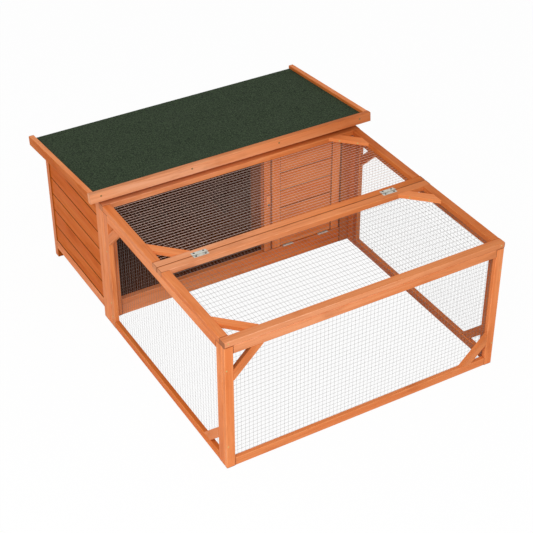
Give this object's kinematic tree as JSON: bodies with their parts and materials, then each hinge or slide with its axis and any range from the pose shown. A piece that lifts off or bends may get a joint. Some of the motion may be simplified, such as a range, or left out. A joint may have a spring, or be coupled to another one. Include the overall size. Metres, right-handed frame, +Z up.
{
  "type": "small animal hutch with run",
  "caption": "Low wooden hutch with a boarded, felt-roofed house at the back and a wire-mesh run with a lifting lid in front.",
  "frame": {"origin": "on the ground under the middle of the hutch's outer box", "axes": "+X to the right seen from the run's front, +Y from the run's front to the house's back, +Z up"},
  "size_m": [1, 1.25, 0.4999],
  "materials": {
    "timber": "orange-brown stained fir, satin, visible grain",
    "board": "thin sheet wood, stained, matt",
    "wire": "galvanised welded wire, dull light grey",
    "zinc": "zinc plated, satin silver",
    "felt": "mineral-faced roofing felt, dark green, matt and grainy"
  },
  "bodies": {
    "hutch": {"back_boards": "timber", "back_top_rail": "timber", "front_bottom_rail": "timber", "front_braces": "timber", "front_net": "wire", "front_stile_left": "timber", "front_stile_right": "timber", "front_top_rail": "timber", "hinge_fixed_leaves": "zinc", "hinge_pins": "zinc", "house_base_rails": "timber", "house_floor": "board", "house_mullion": "timber", "house_partition": "board", "house_rear_posts": "timber", "house_sill": "timber", "house_stile_left": "timber", "house_stile_right": "timber", "house_top_rail": "timber", "left_bottom_rail": "timber", "left_braces": "timber", "left_net": "wire", "left_stile_front": "timber", "left_stile_rear": "timber", "left_top_rail": "timber", "right_bottom_rail": "timber", "right_braces": "timber", "right_net": "wire", "right_stile_front": "timber", "right_stile_rear": "timber", "right_top_rail": "timber", "run_posts": "timber", "top_braces": "timber", "top_front_rail": "timber", "top_net": "wire", "top_rear_rail": "timber", "top_side_rails": "timber", "turn_button_screw": "zinc", "wall_boards_left": "timber", "wall_boards_right": "timber", "window_net": "wire"},
    "lid": {"lid_braces": "timber", "lid_front_rail": "timber", "lid_hinge_leaves": "zinc", "lid_net": "wire", "lid_rear_rail": "timber", "lid_side_rails": "timber"},
    "roof": {"roof_deck": "board", "roof_felt": "felt", "roof_front_batten": "timber", "roof_hinge_leaves": "zinc", "roof_side_battens": "timber"},
    "door": {"door_boards": "timber", "door_hinge_leaves": "zinc", "door_stile_left": "timber", "door_stile_right": "timber"},
    "button": {"turn_button": "timber"}
  },
  "joints": [
    {"name": "lid_lift", "type": "hinge", "parent": "hutch", "child": "lid", "pos_m": [0, -0.2295, 0.4505], "axis": [-1, 0, 0], "range_deg": [0, 165]},
    {"name": "roof_lift", "type": "hinge", "parent": "hutch", "child": "roof", "pos_m": [0, 0.5975, 0.43545], "axis": [-1, 0, 0], "range_deg": [0, 90]},
    {"name": "door_swing", "type": "hinge", "parent": "hutch", "child": "door", "pos_m": [0.27625, 0.1625, 0.06075], "axis": [1, 0, 0], "range_deg": [0, 98]},
    {"name": "button_turn", "type": "hinge", "parent": "hutch", "child": "button", "pos_m": [0.1265, 0.1601, 0.25], "axis": [0, 1, 0], "range_deg": [0, 90]}
  ]
}
